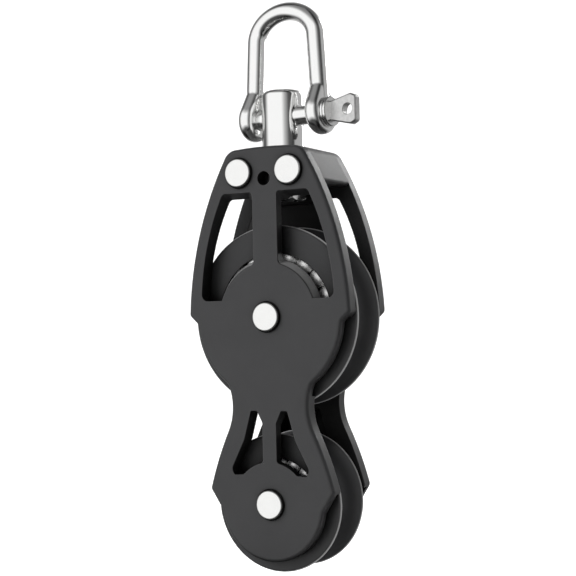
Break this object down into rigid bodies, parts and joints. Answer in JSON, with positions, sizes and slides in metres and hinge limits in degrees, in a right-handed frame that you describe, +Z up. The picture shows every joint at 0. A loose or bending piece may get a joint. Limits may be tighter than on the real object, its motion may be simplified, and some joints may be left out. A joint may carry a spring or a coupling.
{
  "type": "fiddle block",
  "caption": "In-line double sheave block: a large and a small ball-bearing sheave between slotted cheeks, hung from a swivel bow shackle.",
  "frame": {"origin": "point inside the shackle's crown that the block hangs from, in the middle of the bar's inner side", "axes": "+Z up along the block, away from the sheaves; X across the cheeks; Y along the sheave axles, front cheek at -Y"},
  "size_m": [0.06, 0.0312, 0.1875],
  "materials": {
    "polished_steel": "mirror-polished stainless steel",
    "bolt_steel": "finely turned and polished stainless steel",
    "ball_steel": "ground stainless steel balls",
    "cheek_plastic": "dark grey glass-filled nylon, satin moulded surface",
    "sheave_plastic": "black acetal, turned, soft sheen",
    "bearing_plastic": "natural acetal"
  },
  "bodies": {
    "shackle": {"shackle_bow": "polished_steel"},
    "pin": {"shackle_pin": "polished_steel"},
    "swivel": {"swivel_post": "polished_steel", "swivel_washer": "polished_steel", "swivel_nut": "polished_steel"},
    "frame": {"swivel_bush": "bearing_plastic", "head_block": "cheek_plastic", "front_cheek": "cheek_plastic", "rear_cheek": "cheek_plastic", "head_stud_left": "bolt_steel", "head_stud_right": "bolt_steel", "head_screw_left": "bolt_steel", "head_screw_right": "bolt_steel", "large_axle_stud": "bolt_steel", "large_axle_screw": "bolt_steel", "small_axle_stud": "bolt_steel", "small_axle_screw": "bolt_steel", "large_axle_sleeve": "bolt_steel", "small_axle_sleeve": "bolt_steel", "large_hub": "sheave_plastic", "small_hub": "sheave_plastic"},
    "large_sheave": {"large_sheave": "sheave_plastic"},
    "large_balls": {"large_balls_front": "ball_steel", "large_balls_rear": "ball_steel"},
    "small_sheave": {"small_sheave": "sheave_plastic"},
    "small_balls": {"small_balls_front": "ball_steel", "small_balls_rear": "ball_steel"}
  },
  "joints": [
    {"name": "shackle_tilt", "type": "hinge", "parent": "shackle", "child": "swivel", "pos_m": [0, 0, -0.0322], "axis": [0.9903, -0.1392, 0], "range_deg": [-100, 100]},
    {"name": "pin_withdraw", "type": "slide", "parent": "shackle", "child": "pin", "axis": [0.9903, -0.1392, 0], "range_m": [0, 0.03]},
    {"name": "swivel_turn", "type": "hinge", "parent": "swivel", "child": "frame", "pos_m": [-0.00188, 0.00026, -0.0485], "axis": [0, 0, 1], "continuous": true},
    {"name": "large_sheave_spin", "type": "hinge", "parent": "frame", "child": "large_sheave", "pos_m": [-0.00188, 0.00026, -0.0985], "axis": [0, 1, 0], "continuous": true},
    {"name": "small_sheave_spin", "type": "hinge", "parent": "frame", "child": "small_sheave", "pos_m": [-0.00188, 0.00026, -0.159], "axis": [0, 1, 0], "continuous": true},
    {"name": "large_balls_roll", "type": "hinge", "parent": "frame", "child": "large_balls", "pos_m": [-0.00188, 0.00026, -0.0985], "axis": [0, 1, 0], "continuous": true},
    {"name": "small_balls_roll", "type": "hinge", "parent": "frame", "child": "small_balls", "pos_m": [-0.00188, 0.00026, -0.159], "axis": [0, 1, 0], "continuous": true}
  ],
  "couplings": [
    {"joint": "large_balls_roll", "follows": "large_sheave_spin", "ratio": 0.5818},
    {"joint": "small_balls_roll", "follows": "small_sheave_spin", "ratio": 0.5919}
  ]
}
